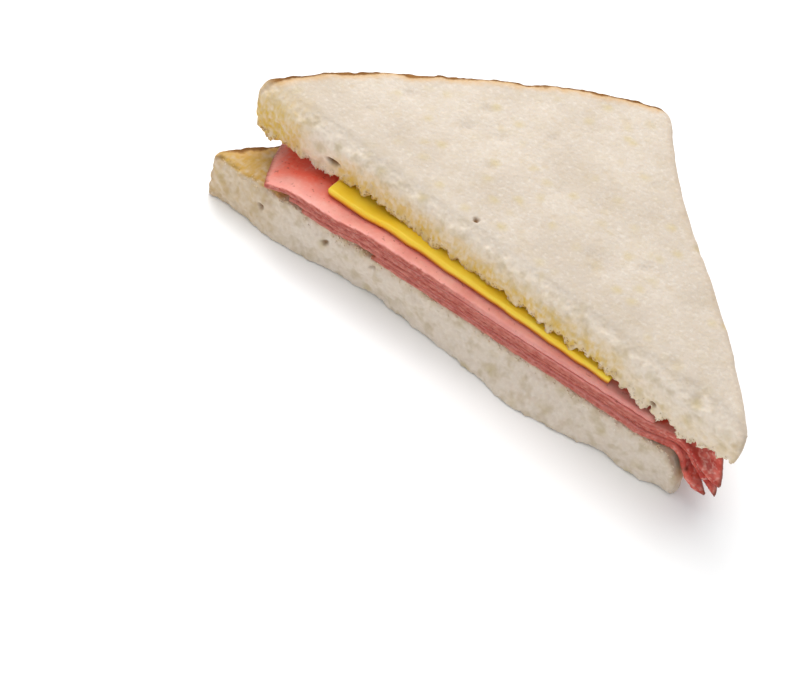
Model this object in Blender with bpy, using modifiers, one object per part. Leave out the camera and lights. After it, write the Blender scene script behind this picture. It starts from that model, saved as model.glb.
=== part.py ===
"""Half of a bologna sandwich on white loaf bread, cut corner to corner and lying flat.

The design is drawn with +X along the cut, the cut facing -Y, the square corner of the
bread at +Y and the table at Z = 0. The finished pieces are then moved together, so that
the origin is at the middle of the bottom of the whole. All sizes are in metres.
"""

import math

import bmesh
import bpy
import numpy as np
from mathutils import Vector, noise

# Gap that touching pieces keep
GAP = 0.0003

# Bread: the two crust edges of each half slice, their rounded corners and their domes
TOP_LEGS = (0.1136, 0.1110)
TOP_CORNER_RADII = (0.0110, 0.004, 0.003)
TOP_DOMES = (0.0055, -0.0004)
TOP_EDGE_WAVES = (0.0, 0.0016)
TOP_LEFT_TIP = (-0.0815, -0.0024)
TOP_TURN = 0.0
TOP_CUT_HOLLOW = 0.0009
TOP_CUT_LEAN = 0.0007
TOP_LEVEL = 0.0349
TOP_CUT_ROUND = 0.0050

BOTTOM_LEGS = (0.116, 0.103)
BOTTOM_CORNER_RADII = (0.0095, 0.004, 0.0135)
BOTTOM_DOMES = (0.0056, 0.0005)
BOTTOM_EDGE_WAVES = (0.0, 0.0006)
BOTTOM_LEFT_TIP = (-0.0840, -0.0148)
BOTTOM_TURN = math.radians(4.5)
BOTTOM_CUT_HOLLOW = 0.0
BOTTOM_CUT_LEAN = 0.0020
BOTTOM_THICKNESS = 0.0132
BOTTOM_TAPER = -0.0100
BOTTOM_TIP_PRESS = 0.0062
BOTTOM_TIP_PRESS_START = 0.0585
BOTTOM_TIP_PRESS_LENGTH = 0.0085

# The cut of the bottom slice swells and draws in at its foot: middle, half width, how far out
FOOT_HEIGHT = 0.010
FOOT_SWELLS = (
    (-0.073, 0.018, -0.0012),
    (-0.027, 0.030, -0.0028),
    (0.022, 0.022, 0.0028),
    (0.047, 0.009, -0.0012),
    (0.064, 0.012, -0.0020),
)

# Underside of the top slice: level over the cheese, pressed down beside it
CEILING = 0.0231
CEILING_RIGHT_DROP = 0.0022
CEILING_RIGHT_START = 0.0395
CEILING_RIGHT_LENGTH = 0.015
CEILING_TIP_RISE = 0.0016
CEILING_TIP_START = 0.060
CEILING_TIP_LENGTH = 0.014
CEILING_LEFT_DROP = 0.0034
CEILING_LEFT_START = -0.032
CEILING_LEFT_LENGTH = 0.040

# The lean and the swell of a cut reach this far into the slice
NEAR_CUT = 0.015

# Crumb: torn relief on the cut faces, pits and swells on the exposed faces
BREAD_VOXEL = 0.0014
BREAD_SMOOTH_STEPS = 5
TOP_SEED = (0.37, 0.11, 0.53)
BOTTOM_SEED = (0.05, 0.71, 0.29)
SWELL_HEIGHT = 0.00035
SWELL_SIZE = 0.011
TORN_DEPTH = 0.00075
TORN_SIZE = 0.0038
TORN_REACH = 0.006
PIT_SPACING = 0.0085
PIT_RADIUS = 0.0026
PIT_DEPTH = 0.0011
PIT_SHARE = 0.45
PIT_DRAW_SPREAD = 7.0
CRUST_WRINKLE = 0.00045
CRUST_WRINKLE_SIZE = 0.0060
BREAD_TRIANGLES = 3600

# Parts of a normal at which a face starts and ends to count as cut, upper or side face
CUT_FACING = (0.125, 0.75)
UP_FACING = (0.3, 0.8)
SIDE_FACING = (0.6, 0.1)

# Bologna: round slices of one size, laid one over the other and fanned to the right
BOLOGNA_RADIUS = 0.066
BOLOGNA_THICKNESS = 0.00135
BOLOGNA_CENTRES = (
    (0.0265, -0.0465),
    (0.0150, -0.0227),
    (0.0120, -0.0130),
    (-0.0070, 0.0250),
)
BOLOGNA_CUT_MIDDLES = (-0.0067, -0.0063, -0.0066, -0.0062)
BOLOGNA_TURNS = tuple(math.radians(turn) for turn in (4.9, 5.3, 5.0, 5.4))
BOLOGNA_PEEK_LEFT = 0.0019
BOLOGNA_PEEK_RIGHT = 0.0055
BOLOGNA_INSIDE = (0.018, 0.003)
BOLOGNA_RAYS = 96
RAY_HALVINGS = 30
EDGE_SOFTNESS = 0.0035
DRAPE_MARGIN = 0.0015
DRAPE_LENGTH = 0.010
BOLOGNA_HOLLOW = 0.0020
BOLOGNA_HOLLOW_MIDDLE = 0.0605
BOLOGNA_HOLLOW_HALF = 0.0095
DROOPS = (0.0059, 0.0092, 0.0058, 0.0006)
DROOP_LENGTHS = (0.0040, 0.0123, 0.0120, 0.0120)
DROOP_SOFTNESS = 0.0010
DROOP_START = 0.0006
DROOP_BEFORE_TIP = 0.0102
DROOP_CRUST_OUT = 0.0010
DROOP_FADE_X = (0.030, 0.050)
BOLOGNA_TRIANGLES = 950

# Cheese: one square processed slice, laid with its sides along and across the cut
CHEESE_SIDE = 0.087
CHEESE_THICKNESS = 0.0024
CHEESE_MIDDLE_X = -0.0038
CHEESE_CUT_MIDDLE = -0.0029
CHEESE_TURN = math.radians(2.6)
CHEESE_DEPTH = 0.035
CHEESE_CORNER_RADIUS = 0.002
CHEESE_PAST_KNIFE = 0.02
CHEESE_TRIANGLES = 450

# Linear colours: red, green, blue
TOP_CRUMB_COLOUR = (0.78, 0.70, 0.58)
BOTTOM_CRUMB_COLOUR = (0.72, 0.64, 0.52)
BOLOGNA_COLOUR = (0.55, 0.17, 0.12)
BOLOGNA_FACE_COLOUR = (0.70, 0.28, 0.21)
CHEESE_COLOUR = (0.83, 0.53, 0.07)
CRUMB_ROUGHNESS = 0.95
BOLOGNA_ROUGHNESS = 0.45
CHEESE_ROUGHNESS = 0.4

# Outlines, the plates and cutters for thin slices, and the clean-up of meshes
OUTLINE_STEP = 0.003
SHEET_HALF = 0.1
SHEET_GRID = 0.0018
TRIMMER_HALF = 0.01
KNIFE_SIZE = (0.4, 0.2, 0.04)
REST_SNAP = 0.00045
WELD_DISTANCE = 1e-6
SHARP_ANGLE = math.radians(50.0)


def smooth_step(value):
    value = min(max(value, 0.0), 1.0)
    return value * value * (3.0 - 2.0 * value)


def between(value, limits):
    """0 at the first limit, 1 at the second, with a soft start and end."""
    return smooth_step((value - limits[0]) / (limits[1] - limits[0]))


def soft_min(values, softness):
    """The least of some distances, with the corner between two of them rounded."""
    least = min(values)
    total = sum(math.exp((least - value) / softness) for value in values)
    return least - softness * math.log(total)


def new_material(name, colour, roughness):
    material = bpy.data.materials.new(name)
    material.use_nodes = True
    shader = material.node_tree.nodes["Principled BSDF"]
    shader.inputs["Base Color"].default_value = (*colour, 1.0)
    shader.inputs["Roughness"].default_value = roughness
    shader.inputs["Metallic"].default_value = 0.0
    material.diffuse_color = (*colour, 1.0)
    return material


def place(point, origin, turn):
    """A point of a slice's own plan, turned and moved to where the slice lies."""
    x, y = point
    return (
        origin[0] + x * math.cos(turn) - y * math.sin(turn),
        origin[1] + x * math.sin(turn) + y * math.cos(turn),
    )


def arc(centre, radius, start, end):
    count = max(3, round(abs(end - start) * radius / OUTLINE_STEP) + 2)
    return [
        (
            centre[0] + radius * math.cos(start + (end - start) * i / (count - 1)),
            centre[1] + radius * math.sin(start + (end - start) * i / (count - 1)),
        )
        for i in range(count)
    ]


def edge(start, end, dome, wave):
    """The inner points of an edge, with start and end left out, bulged to its right."""
    run = (end[0] - start[0], end[1] - start[1])
    length = math.hypot(*run)
    outward = (run[1] / length, -run[0] / length)
    count = round(length / OUTLINE_STEP)
    points = []
    for i in range(1, count):
        s = i / count
        bulge = dome * (1.0 - abs(2.0 * s - 1.0) ** 3) + wave * math.sin(2.0 * math.pi * s)
        points.append(
            (
                start[0] + run[0] * s + outward[0] * bulge,
                start[1] + run[1] * s + outward[1] * bulge,
            )
        )
    return points


def half_slice_outline(legs, radii, domes, waves, hollow):
    """A loaf slice with rounded corners, cut corner to corner, with its left tip at 0, 0."""
    left_leg, right_leg = legs
    left_radius, back_radius, right_radius = radii
    cut = math.hypot(left_leg, right_leg)
    left_angle = math.acos(left_leg / cut)
    right_angle = math.acos(right_leg / cut)
    corner = (left_leg**2 / cut, left_leg * right_leg / cut)
    left_centre = (left_radius / math.sin(left_angle), 0.0)
    right_centre = (cut - right_radius / math.sin(right_angle), 0.0)
    inward = left_angle + math.radians(-135.0)
    back_centre = (
        corner[0] + back_radius * math.sqrt(2.0) * math.cos(inward),
        corner[1] + back_radius * math.sqrt(2.0) * math.sin(inward),
    )
    right_normal = math.radians(90.0) - right_angle
    left_normal = math.radians(90.0) + left_angle
    right_end = arc(right_centre, right_radius, 0.0, right_normal)
    back_end = arc(back_centre, back_radius, right_normal, left_normal)
    left_end = arc(left_centre, left_radius, left_normal, math.pi)
    front = edge(left_end[-1], right_end[0], -hollow, 0.0)
    right_side = edge(right_end[-1], back_end[0], domes[1], waves[1])
    left_side = edge(back_end[-1], left_end[0], domes[0], waves[0])
    return front + right_end + right_side + back_end + left_side + left_end


def plate_from_outline(name, outline, low, high):
    """A flat plate between two levels, made from a filled curve and then a mesh."""
    curve = bpy.data.curves.new(name, "CURVE")
    curve.dimensions = "2D"
    curve.fill_mode = "BOTH"
    curve.extrude = (high - low) / 2.0
    spline = curve.splines.new("POLY")
    spline.points.add(len(outline) - 1)
    for point, (x, y) in zip(spline.points, outline):
        point.co = (x, y, 0.0, 1.0)
    spline.use_cyclic_u = True
    drawn = bpy.data.objects.new(name + "_outline", curve)
    bpy.context.scene.collection.objects.link(drawn)
    bpy.context.view_layer.update()
    mesh = evaluated_mesh(drawn)
    bpy.data.objects.remove(drawn)
    welded = bmesh.new()
    welded.from_mesh(mesh)
    bmesh.ops.remove_doubles(welded, verts=welded.verts, dist=WELD_DISTANCE)
    bmesh.ops.translate(welded, verts=welded.verts, vec=(0.0, 0.0, (high + low) / 2.0))
    bmesh.ops.recalc_face_normals(welded, faces=welded.faces)
    welded.to_mesh(mesh)
    welded.free()
    return bpy.data.objects.new(name, mesh)


def evaluated_mesh(obj):
    graph = bpy.context.evaluated_depsgraph_get()
    return bpy.data.meshes.new_from_object(obj.evaluated_get(graph))


def apply_modifiers(obj):
    bpy.context.view_layer.update()
    mesh = evaluated_mesh(obj)
    obj.modifiers.clear()
    obj.data = mesh


def reduce_triangles(obj, wanted):
    """Fewer triangles where the surface is plain, and the detail kept where it isn't."""
    obj.data.calc_loop_triangles()
    modifier = obj.modifiers.new("fewer_triangles", "DECIMATE")
    modifier.ratio = wanted / len(obj.data.loop_triangles)
    modifier.use_collapse_triangulate = True
    apply_modifiers(obj)


def shape_vertices(obj, function):
    """Moves each vertex to function(position, normal)."""
    for vertex in obj.data.vertices:
        vertex.co = function(vertex.co.copy(), vertex.normal.copy())
    obj.data.update()


def pit_depth(position):
    """Open bubbles of the crumb: round hollows round scattered points."""
    distances, points = noise.voronoi(position / PIT_SPACING)
    chosen = noise.cell(points[0] * PIT_DRAW_SPREAD) < 2.0 * PIT_SHARE - 1.0
    reach = distances[0] * PIT_SPACING / PIT_RADIUS
    return PIT_DEPTH * smooth_step(1.0 - reach) if chosen else 0.0


def bread_slice(name, legs, radii, domes, waves, hollow, origin, turn, thickness, upper):
    """A half slice as a soft block with crumb relief, still flat, before it is pressed."""
    outline = half_slice_outline(legs, radii, domes, waves, hollow)
    obj = plate_from_outline(name, outline, 0.0, thickness)
    parts.objects.link(obj)
    remesh = obj.modifiers.new("even_faces", "REMESH")
    remesh.mode = "VOXEL"
    remesh.voxel_size = BREAD_VOXEL
    soften = obj.modifiers.new("soft_edges", "SMOOTH")
    soften.factor = 0.5
    soften.iterations = BREAD_SMOOTH_STEPS
    apply_modifiers(obj)
    seed = Vector(TOP_SEED if upper else BOTTOM_SEED)

    def relief(position, normal):
        at = position + seed
        facing_cut = between(-normal.y, CUT_FACING) * smooth_step(1.0 - position.y / TORN_REACH)
        facing_up = between(normal.z, UP_FACING) if upper else 0.0
        beside = between(abs(normal.z), SIDE_FACING) * (1.0 - facing_cut)
        move = facing_cut * TORN_DEPTH * noise.noise(at / TORN_SIZE)
        move += (facing_up + 0.5 * facing_cut) * SWELL_HEIGHT * noise.noise(at / SWELL_SIZE)
        move += beside * CRUST_WRINKLE * noise.noise(at / CRUST_WRINKLE_SIZE)
        move -= (facing_up + facing_cut) * pit_depth(at)
        return position + normal * move

    shape_vertices(obj, relief)

    def settle_flat(position, normal):
        if position.z < REST_SNAP:
            position.z = 0.0
        if not upper and position.z > thickness - REST_SNAP:
            position.z = thickness
        x, y = place((position.x, position.y), origin, turn)
        return Vector((x, y, position.z))

    shape_vertices(obj, settle_flat)
    return obj


def bottom_bread_top(x):
    """Height of the bottom slice's upper face."""
    return BOTTOM_THICKNESS + BOTTOM_TAPER * x


def bottom_tip_press(x):
    """How far the hanging bologna presses down the right tip of the bottom slice."""
    return BOTTOM_TIP_PRESS * smooth_step((x - BOTTOM_TIP_PRESS_START) / BOTTOM_TIP_PRESS_LENGTH)


def ceiling(x):
    """Height of the top slice's underside."""
    right = smooth_step((x - CEILING_RIGHT_START) / CEILING_RIGHT_LENGTH)
    left = smooth_step((CEILING_LEFT_START - x) / CEILING_LEFT_LENGTH)
    tip = smooth_step((x - CEILING_TIP_START) / CEILING_TIP_LENGTH)
    return CEILING - CEILING_RIGHT_DROP * right - CEILING_LEFT_DROP * left + CEILING_TIP_RISE * tip


def make_bottom_bread():
    obj = bread_slice(
        "bread_bottom",
        BOTTOM_LEGS,
        BOTTOM_CORNER_RADII,
        BOTTOM_DOMES,
        BOTTOM_EDGE_WAVES,
        BOTTOM_CUT_HOLLOW,
        BOTTOM_LEFT_TIP,
        BOTTOM_TURN,
        BOTTOM_THICKNESS,
        upper=False,
    )

    def settle(position, normal):
        share = position.z / BOTTOM_THICKNESS
        cut_y = BOTTOM_LEFT_TIP[1] + (position.x - BOTTOM_LEFT_TIP[0]) * math.tan(BOTTOM_TURN)
        near_cut = smooth_step(1.0 - (position.y - cut_y) / NEAR_CUT)
        swell = sum(
            out * smooth_step(1.0 - abs(position.x - middle) / half)
            for middle, half, out in FOOT_SWELLS
        )
        foot = swell * smooth_step(1.0 - position.z / FOOT_HEIGHT)
        y = position.y + near_cut * (BOTTOM_CUT_LEAN * share - foot)
        height = bottom_bread_top(position.x) - bottom_tip_press(position.x)
        return Vector((position.x, y, share * height))

    def rest(position, normal):
        return Vector((position.x, position.y, 0.0)) if position.z < REST_SNAP else position

    shape_vertices(obj, settle)
    reduce_triangles(obj, BREAD_TRIANGLES)
    shape_vertices(obj, rest)
    return obj


def round_corner(inward, down, radius):
    """Moves a point near a square corner, given by its depth from both faces, to a round one."""
    if inward >= radius or down >= radius:
        return inward, down
    across = 1.0 - inward / radius
    along = 1.0 - down / radius
    inward = radius * (1.0 - across * math.sqrt(1.0 - along * along / 2.0))
    down = radius * (1.0 - along * math.sqrt(1.0 - across * across / 2.0))
    return inward, down


def make_top_bread():
    thickness = TOP_LEVEL - CEILING
    obj = bread_slice(
        "bread_top",
        TOP_LEGS,
        TOP_CORNER_RADII,
        TOP_DOMES,
        TOP_EDGE_WAVES,
        TOP_CUT_HOLLOW,
        TOP_LEFT_TIP,
        TOP_TURN,
        thickness,
        upper=True,
    )

    def settle(position, normal):
        low = ceiling(position.x)
        share = position.z / thickness
        near_cut = smooth_step(1.0 - (position.y - TOP_LEFT_TIP[1]) / NEAR_CUT)
        y = position.y + near_cut * TOP_CUT_LEAN * (1.0 - share)
        down = (1.0 - share) * (TOP_LEVEL - low)
        inward, down = round_corner(y - TOP_LEFT_TIP[1] - TOP_CUT_HOLLOW, down, TOP_CUT_ROUND)
        y = TOP_LEFT_TIP[1] + TOP_CUT_HOLLOW + inward
        return Vector((position.x, y, TOP_LEVEL - down))

    shape_vertices(obj, settle)
    reduce_triangles(obj, BREAD_TRIANGLES)
    return obj


def crust_line(legs, origin, turn, left):
    """Unit normal and distance of a crust edge's straight line, as n . p = d."""
    cut = math.hypot(*legs)
    if left:
        direction = math.radians(90.0) + math.acos(legs[0] / cut) + turn
        through = origin
    else:
        direction = math.radians(90.0) - math.acos(legs[1] / cut) + turn
        through = place((cut, 0.0), origin, turn)
    normal = (math.cos(direction), math.sin(direction))
    return normal, normal[0] * through[0] + normal[1] * through[1]


TOP_CRUSTS = [crust_line(TOP_LEGS, TOP_LEFT_TIP, TOP_TURN, left) for left in (True, False)]
BOTTOM_CRUSTS = [
    crust_line(BOTTOM_LEGS, BOTTOM_LEFT_TIP, BOTTOM_TURN, left) for left in (True, False)
]


def beyond(line, x, y):
    normal, distance = line
    return normal[0] * x + normal[1] * y - distance


def inside_bologna(centre, x, y):
    """How far a point lies inside a round slice that is tucked in at the crusts."""
    round_edge = BOLOGNA_RADIUS - math.hypot(x - centre[0], y - centre[1])
    past_left, past_right = [
        (beyond(top, x, y) + beyond(bottom, x, y)) / 2.0
        for top, bottom in zip(TOP_CRUSTS, BOTTOM_CRUSTS)
    ]
    left = BOTTOM_DOMES[0] + BOLOGNA_PEEK_LEFT - past_left
    right = BOLOGNA_PEEK_RIGHT - past_right
    return soft_min((round_edge, left, right), EDGE_SOFTNESS)


def bologna_outline(centre):
    """The slice's edge, found along rays from a point that lies well inside each slice."""
    points = []
    for i in range(BOLOGNA_RAYS):
        angle = 2.0 * math.pi * i / BOLOGNA_RAYS
        near, far = 0.0, 3.0 * BOLOGNA_RADIUS
        for _ in range(RAY_HALVINGS):
            half = (near + far) / 2.0
            point = place((half, 0.0), BOLOGNA_INSIDE, angle)
            if inside_bologna(centre, *point) > 0.0:
                near = half
            else:
                far = half
        points.append(place((near, 0.0), BOLOGNA_INSIDE, angle))
    return points


def sheet_from_outline(name, outline, thickness, cut_middle, turn):
    """A thin plate with an even grid of faces, trimmed to its outline and cut by the knife."""
    steps = round(2.0 * SHEET_HALF / SHEET_GRID)
    grid = bmesh.new()
    bmesh.ops.create_grid(grid, x_segments=steps, y_segments=steps, size=SHEET_HALF)
    raised = bmesh.ops.extrude_face_region(grid, geom=grid.faces[:])
    corners = [item for item in raised["geom"] if isinstance(item, bmesh.types.BMVert)]
    bmesh.ops.translate(grid, verts=corners, vec=(0.0, 0.0, thickness))
    bmesh.ops.recalc_face_normals(grid, faces=grid.faces)
    mesh = bpy.data.meshes.new(name)
    grid.to_mesh(mesh)
    grid.free()
    obj = bpy.data.objects.new(name, mesh)
    parts.objects.link(obj)
    trimmer = plate_from_outline(name + "_trimmer", outline, -TRIMMER_HALF, TRIMMER_HALF)
    knife = bpy.data.objects.new(name + "_knife", bpy.data.meshes.new(name + "_knife"))
    block = bmesh.new()
    bmesh.ops.create_cube(block, size=1.0)
    bmesh.ops.scale(block, verts=block.verts, vec=KNIFE_SIZE)
    block.to_mesh(knife.data)
    block.free()
    away = KNIFE_SIZE[1] / 2.0
    knife.rotation_euler.z = turn
    knife.location = (away * math.sin(turn), cut_middle - away * math.cos(turn), 0.0)
    for cutter, operation in ((trimmer, "INTERSECT"), (knife, "DIFFERENCE")):
        cutters.objects.link(cutter)
        cutter.hide_render = True
        cutter.display_type = "WIRE"
        modifier = obj.modifiers.new(cutter.name, "BOOLEAN")
        modifier.operation = operation
        modifier.object = cutter
        modifier.solver = "EXACT"
    apply_modifiers(obj)
    return obj


def lift_of_bologna(count, x, y):
    """How much the lowest slices raise what lies on them."""
    lift = 0.0
    for centre in BOLOGNA_CENTRES[:count]:
        margin = inside_bologna(centre, x, y) + DRAPE_MARGIN + DRAPE_LENGTH
        lift += (BOLOGNA_THICKNESS + GAP) * smooth_step(margin / DRAPE_LENGTH)
    return lift


def droop_run(x, y):
    """How far along its droop a point lies, past the right tip of the bottom slice."""
    tip = place((math.hypot(*BOTTOM_LEGS), 0.0), BOTTOM_LEFT_TIP, BOTTOM_TURN)
    past_tip = x - tip[0] + DROOP_BEFORE_TIP
    past_crust = beyond(BOTTOM_CRUSTS[1], x, y) - DROOP_CRUST_OUT
    past = -soft_min((-past_tip, -past_crust), DROOP_SOFTNESS)
    return max(past - DROOP_START, 0.0)


def make_bologna(index):
    centre = BOLOGNA_CENTRES[index]
    obj = sheet_from_outline(
        f"bologna_slice_{index + 1}",
        bologna_outline(centre),
        BOLOGNA_THICKNESS,
        BOLOGNA_CUT_MIDDLES[index],
        BOLOGNA_TURNS[index],
    )

    def settle(position, normal):
        x, y, z = position
        run = droop_run(x, y) / DROOP_LENGTHS[index]
        fade = smooth_step((x - DROOP_FADE_X[0]) / (DROOP_FADE_X[1] - DROOP_FADE_X[0]))
        droop = DROOPS[index] * fade
        slope = 2.0 * droop * run * math.exp(-run * run) / DROOP_LENGTHS[index]
        floor = bottom_bread_top(x) + GAP + lift_of_bologna(index, x, y)
        top = floor + BOLOGNA_THICKNESS - droop * (1.0 - math.exp(-run * run))
        thickness = BOLOGNA_THICKNESS * math.sqrt(1.0 + slope * slope)
        cut_y = BOLOGNA_CUT_MIDDLES[index] + x * math.tan(BOLOGNA_TURNS[index])
        near_cut = smooth_step(1.0 - (y - cut_y) / NEAR_CUT)
        hollow = smooth_step(1.0 - abs(x - BOLOGNA_HOLLOW_MIDDLE) / BOLOGNA_HOLLOW_HALF)
        y += BOLOGNA_HOLLOW * hollow * near_cut
        return Vector((x, y, top - (1.0 - z / BOLOGNA_THICKNESS) * thickness))

    shape_vertices(obj, settle)
    reduce_triangles(obj, BOLOGNA_TRIANGLES)
    return obj


def make_cheese():
    half = CHEESE_SIDE / 2.0
    inset = CHEESE_CORNER_RADIUS
    back = CHEESE_DEPTH - inset
    outline = [(-half, -CHEESE_PAST_KNIFE), (half, -CHEESE_PAST_KNIFE)]
    outline += arc((half - inset, back), inset, 0.0, math.pi / 2.0)
    outline += arc((inset - half, back), inset, math.pi / 2.0, math.pi)
    origin = (CHEESE_MIDDLE_X, CHEESE_CUT_MIDDLE)
    outline = [place(point, origin, CHEESE_TURN) for point in outline]
    obj = sheet_from_outline(
        "cheese_slice",
        outline,
        CHEESE_THICKNESS,
        CHEESE_CUT_MIDDLE,
        CHEESE_TURN,
    )

    def settle(position, normal):
        x, y, z = position
        floor = bottom_bread_top(x) + GAP + lift_of_bologna(len(BOLOGNA_CENTRES), x, y)
        return Vector((x, y, floor + z))

    shape_vertices(obj, settle)
    reduce_triangles(obj, CHEESE_TRIANGLES)
    return obj


def centre_on_origin(objects):
    """Moves all the pieces alike, so the origin is the middle of the underside's box."""
    corners = np.array([vertex.co for obj in objects for vertex in obj.data.vertices])
    low, high = corners.min(axis=0), corners.max(axis=0)
    move = Vector((-(low[0] + high[0]) / 2.0, -(low[1] + high[1]) / 2.0, -low[2]))
    for obj in objects:
        for vertex in obj.data.vertices:
            vertex.co += move
        obj.data.update()


for old in list(bpy.data.objects):
    bpy.data.objects.remove(old)

parts = bpy.data.collections.new("bologna_sandwich")
cutters = bpy.data.collections.new("cutters")
bpy.context.scene.collection.children.link(parts)
bpy.context.scene.collection.children.link(cutters)

bread = (
    (make_bottom_bread(), BOTTOM_CRUMB_COLOUR, CRUMB_ROUGHNESS),
    (make_top_bread(), TOP_CRUMB_COLOUR, CRUMB_ROUGHNESS),
)
cheese = ((make_cheese(), CHEESE_COLOUR, CHEESE_ROUGHNESS),)
last = len(BOLOGNA_CENTRES) - 1
bologna = tuple(
    (make_bologna(i), BOLOGNA_FACE_COLOUR if i == last else BOLOGNA_COLOUR, BOLOGNA_ROUGHNESS)
    for i in range(len(BOLOGNA_CENTRES))
)
pieces = bread + cheese + bologna
for piece, colour, roughness in pieces:
    piece.data.materials.clear()
    piece.data.materials.append(new_material(piece.name, colour, roughness))
    piece.data.shade_smooth()
    piece.data.set_sharp_from_angle(angle=SHARP_ANGLE)
centre_on_origin([piece for piece, _, _ in pieces])
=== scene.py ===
"""Half of a bologna sandwich on white loaf bread, dressed for the camera.

The pieces are built from the bottom bread slice up, in metres, in the frame of the solids:
+X runs along the cut, the cut faces -Y and the sandwich's underside is at Z = 0.
"""

import itertools
import math

import bmesh
import bpy
import numpy as np
from mathutils import Matrix, Vector, kdtree


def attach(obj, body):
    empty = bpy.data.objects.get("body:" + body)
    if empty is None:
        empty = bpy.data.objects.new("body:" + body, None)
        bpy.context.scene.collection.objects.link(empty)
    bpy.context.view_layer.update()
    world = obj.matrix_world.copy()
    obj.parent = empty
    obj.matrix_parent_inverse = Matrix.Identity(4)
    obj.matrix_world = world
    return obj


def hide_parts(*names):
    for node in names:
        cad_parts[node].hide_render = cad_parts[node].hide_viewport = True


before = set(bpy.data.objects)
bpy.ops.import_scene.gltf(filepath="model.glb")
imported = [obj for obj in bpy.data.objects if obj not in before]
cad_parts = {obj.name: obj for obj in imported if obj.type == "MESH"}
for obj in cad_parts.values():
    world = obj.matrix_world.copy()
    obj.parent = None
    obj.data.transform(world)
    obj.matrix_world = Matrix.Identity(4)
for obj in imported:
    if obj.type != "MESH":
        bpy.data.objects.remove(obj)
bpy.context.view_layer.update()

# White sandwich bread, the bottom slice: an open crumb of fine bubbles inside a thin baked
# crust, baked in a loaf tin, sliced, and cut corner to corner with a knife that tears the
# crumb a little. It lies crumb down and carries the fillings.
MM = 0.001
WELD_DISTANCE = 1e-6
BREAD_FACE_SIZE = 0.46 * MM
BREAD_MELT_STEPS = 16
# Distances from the crust and the cut are measured up to CRUST_REACH. Towards the cut the
# baking fades to 15 percent, over CRUST_FADE
CRUST_REACH = 12.0 * MM
CRUST_EDGE = 1.4 * MM
CRUST_FADE_FROM = 1.4 * MM
CRUST_FADE = 3.6 * MM
FRINGE_RISE = 2.6 * MM
TORN_REACH = 3.4 * MM
# Bubbles: spacing, mean radius and the portion of cells that hold one
SMALL_BUBBLES = (1.7 * MM, 0.60 * MM, 0.55)
MIDDLE_BUBBLES = (4.2 * MM, 1.2 * MM, 0.28)
LARGE_BUBBLES = (11.0 * MM, 2.2 * MM, 0.20)
HOLLOW_DEPTH_MM = 1.3
# How far a tooth of torn crumb reaches out of the cut, and up or down beside the fillings
UPPER_TEETH_MM = (1.1, -1.4)
LOWER_TEETH_MM = (0.6, 0.5)
# Sizes of the patterns in the crumb's colour
BROAD_DRIFT = 22.0 * MM
CRUMB_GRAIN = 1.1 * MM
CRUMB_MOTTLE = 3.2 * MM
SPOT_SPACING = 5.6 * MM
SPOT_BEND = 1.6 * MM
STAIN_TUFTS = 0.9 * MM
CRUST_UNEVEN = 4.0 * MM
BOTTOM_SEED = 11
# Open hollows: x, y, z and radius in millimetres, stretch along the cut, share of full depth
BOTTOM_HOLLOWS = (
    (-25.0, -40.5, 11.3, 1.5, 1.0, 0.8),
    (-39.7, -42.5, 9.1, 1.2, 1.0, 0.6),
    (-60.0, -44.0, 7.5, 1.6, 1.0, 0.6),
)


def fine_copy(node, name, face_size, melt_steps):
    """A node's form again with small even faces, so that its facets melt into curves."""
    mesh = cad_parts[node].data.copy()
    welded = bmesh.new()
    welded.from_mesh(mesh)
    bmesh.ops.remove_doubles(welded, verts=welded.verts, dist=WELD_DISTANCE)
    welded.to_mesh(mesh)
    welded.free()
    mesh.materials.clear()
    piece = bpy.data.objects.new(name, mesh)
    bpy.context.scene.collection.objects.link(piece)
    remesh = piece.modifiers.new("even_faces", "REMESH")
    remesh.mode = "VOXEL"
    remesh.voxel_size = face_size
    melt = piece.modifiers.new("melt_facets", "SMOOTH")
    melt.factor = 0.5
    melt.iterations = melt_steps
    freeze(piece)
    return piece


def freeze(piece):
    """Makes what the modifiers show into the piece's own mesh."""
    bpy.context.view_layer.update()
    evaluated = piece.evaluated_get(bpy.context.evaluated_depsgraph_get())
    mesh = bpy.data.meshes.new_from_object(evaluated)
    piece.modifiers.clear()
    piece.data = mesh


def places_of(mesh):
    """Every vertex's place and its outward direction, as two arrays of rows."""
    places = np.empty(len(mesh.vertices) * 3, np.float32)
    normals = np.empty(len(mesh.vertices) * 3, np.float32)
    mesh.vertices.foreach_get("co", places)
    mesh.vertex_normals.foreach_get("vector", normals)
    return places.reshape(-1, 3).astype(float), normals.reshape(-1, 3).astype(float)


def put_places(mesh, places):
    """Moves every vertex to its new place."""
    mesh.vertices.foreach_set("co", places.astype(np.float32).ravel())
    mesh.update()


def store(mesh, name, values):
    """Keeps one number for each vertex under a name that a material reads."""
    attribute = mesh.attributes.new(name, "FLOAT", "POINT")
    attribute.data.foreach_set("value", np.asarray(values, np.float32))


def ease(values):
    """0 up to 0 and 1 from 1 on, with a smooth rise between."""
    values = np.clip(values, 0.0, 1.0)
    return values * values * (3.0 - 2.0 * values)


def cell_random(cells, seed):
    """A number from 0 to 1 for each cell of an endless grid, the same on every run."""
    x, y, z = (cells[:, axis].astype(np.uint64) for axis in range(3))
    mixed = x * np.uint64(0x9E3779B97F4A7C15)
    mixed ^= y * np.uint64(0xC2B2AE3D27D4EB4F)
    mixed ^= z * np.uint64(0x165667B19E3779F9)
    mixed ^= np.uint64(seed * 0x27D4EB2F165667C5 % 2**64)
    for shift in (33, 29, 32):
        mixed ^= mixed >> np.uint64(shift)
        mixed *= np.uint64(0xFF51AFD7ED558CCD)
    return (mixed >> np.uint64(11)).astype(float) / 2.0**53


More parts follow.
